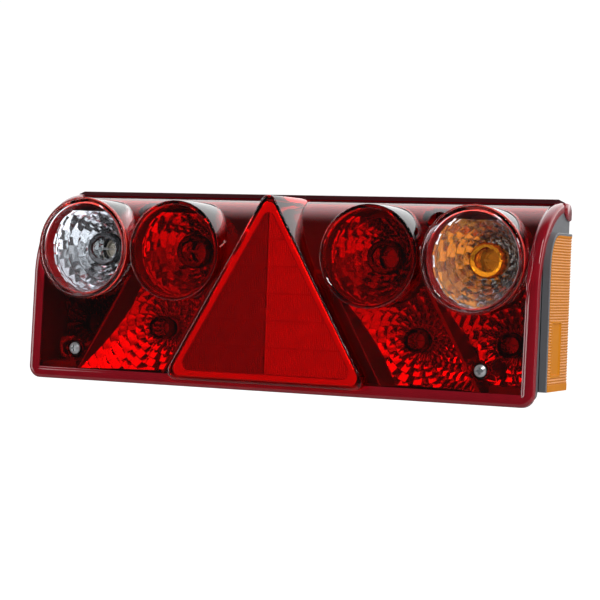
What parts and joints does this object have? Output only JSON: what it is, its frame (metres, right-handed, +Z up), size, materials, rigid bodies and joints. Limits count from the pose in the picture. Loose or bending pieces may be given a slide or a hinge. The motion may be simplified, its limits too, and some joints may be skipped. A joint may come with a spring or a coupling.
{
  "type": "trailer tail light",
  "caption": "Long trailer tail light: grey housing, red lens with round lamps, triangular reflex reflector and an amber end marker, on two rear studs.",
  "frame": {"origin": "midway between the two mounting studs, in the plane of the rear face", "axes": "+X along the lamp towards the amber end marker, +Y out of the rear face along the studs, +Z up; the lenses face -Y"},
  "size_m": [0.3965, 0.1063, 0.1412],
  "materials": {
    "grey_plastic": "moulded ABS, fine satin texture",
    "red_plastic": "injection-moulded acrylic, polished, deep red",
    "clear_plastic": "injection-moulded acrylic, polished, clear",
    "amber_plastic": "injection-moulded acrylic, ribbed, amber",
    "metallised_plastic": "vacuum-metallised ABS",
    "clear_glass": "blown soda-lime glass",
    "amber_glass": "blown soda-lime glass, amber coating",
    "nickelled_brass": "pressed, nickel plated",
    "brass": "stamped strip",
    "zinc_steel": "cold-headed, zinc plated",
    "rubber": "moulded EPDM",
    "black_plastic": "moulded glass-filled nylon"
  },
  "bodies": {
    "root": {"connector_pins": "brass", "connector_seal": "rubber", "connector_socket": "black_plastic", "contact_plungers": "brass", "earth_busbar": "brass", "housing": "grey_plastic", "lens_seal": "rubber", "marker_bulb_caps": "nickelled_brass", "marker_bulb_glass": "clear_glass", "marker_carrier": "black_plastic", "marker_clips": "brass", "marker_lens": "amber_plastic", "marker_seal": "rubber", "mounting_studs": "zinc_steel", "reflector_blank": "metallised_plastic", "reflector_fog": "metallised_plastic", "reflector_indicator": "metallised_plastic", "reflector_plate": "metallised_plastic", "reflector_position": "metallised_plastic", "reflector_reversing": "metallised_plastic", "reflector_stop": "metallised_plastic", "reflector_tail": "metallised_plastic", "socket_fog": "nickelled_brass", "socket_indicator": "nickelled_brass", "socket_plate": "nickelled_brass", "socket_position": "nickelled_brass", "socket_reversing": "nickelled_brass", "socket_stop": "nickelled_brass", "socket_tail": "nickelled_brass", "vent_cap": "black_plastic"},
    "lens": {"lens_body": "red_plastic", "reversing_lens": "clear_plastic", "indicator_lens": "clear_plastic", "triangle_reflector": "red_plastic", "screw_washers": "rubber"},
    "screw_upper_left": {"screw_upper_left": "zinc_steel"},
    "screw_upper_right": {"screw_upper_right": "zinc_steel"},
    "screw_lower_left": {"screw_lower_left": "zinc_steel"},
    "screw_lower_right": {"screw_lower_right": "zinc_steel"},
    "bulb_reversing": {"bulb_glass_reversing": "clear_glass", "bulb_cap_reversing": "nickelled_brass"},
    "bulb_stop": {"bulb_glass_stop": "clear_glass", "bulb_cap_stop": "nickelled_brass"},
    "bulb_tail": {"bulb_glass_tail": "clear_glass", "bulb_cap_tail": "nickelled_brass"},
    "bulb_indicator": {"bulb_glass_indicator": "amber_glass", "bulb_cap_indicator": "nickelled_brass"},
    "bulb_fog": {"bulb_glass_fog": "clear_glass", "bulb_cap_fog": "nickelled_brass"},
    "bulb_position": {"bulb_glass_position": "clear_glass", "bulb_cap_position": "nickelled_brass"},
    "bulb_plate": {"bulb_glass_plate": "clear_glass", "bulb_cap_plate": "nickelled_brass"}
  },
  "joints": [
    {"name": "lens_lift_off", "type": "slide", "parent": "root", "child": "lens", "axis": [0, -1, 0], "range_m": [0, 0.12]},
    {"name": "screw_upper_left_turn", "type": "hinge", "parent": "lens", "child": "screw_upper_left", "pos_m": [-0.113, 0, 0.0595], "axis": [0, 1, 0], "continuous": true},
    {"name": "screw_upper_right_turn", "type": "hinge", "parent": "lens", "child": "screw_upper_right", "pos_m": [0.113, 0, 0.0595], "axis": [0, 1, 0], "continuous": true},
    {"name": "screw_lower_left_turn", "type": "hinge", "parent": "lens", "child": "screw_lower_left", "pos_m": [-0.158, 0, -0.042], "axis": [0, 1, 0], "continuous": true},
    {"name": "screw_lower_right_turn", "type": "hinge", "parent": "lens", "child": "screw_lower_right", "pos_m": [0.158, 0, -0.042], "axis": [0, 1, 0], "continuous": true},
    {"name": "bulb_reversing_twist", "type": "hinge", "parent": "root", "child": "bulb_reversing", "pos_m": [-0.151, -0.02, 0.0322], "axis": [0, 1, 0], "range_deg": [0, 15]},
    {"name": "bulb_stop_twist", "type": "hinge", "parent": "root", "child": "bulb_stop", "pos_m": [-0.0754, -0.02, 0.0322], "axis": [0, 1, 0], "range_deg": [0, 15]},
    {"name": "bulb_tail_twist", "type": "hinge", "parent": "root", "child": "bulb_tail", "pos_m": [0.0754, -0.02, 0.0322], "axis": [0, 1, 0], "range_deg": [0, 15]},
    {"name": "bulb_indicator_twist", "type": "hinge", "parent": "root", "child": "bulb_indicator", "pos_m": [0.151, -0.02, 0.0322], "axis": [0, 1, 0], "range_deg": [0, 15]},
    {"name": "bulb_fog_twist", "type": "hinge", "parent": "root", "child": "bulb_fog", "pos_m": [-0.101, -0.02, -0.025], "axis": [0, 1, 0], "range_deg": [0, 15]},
    {"name": "bulb_position_twist", "type": "hinge", "parent": "root", "child": "bulb_position", "pos_m": [0.101, -0.02, -0.025], "axis": [0, 1, 0], "range_deg": [0, 15]},
    {"name": "bulb_plate_twist", "type": "hinge", "parent": "root", "child": "bulb_plate", "pos_m": [0.169, -0.02, -0.025], "axis": [0, 1, 0], "range_deg": [0, 15]}
  ]
}
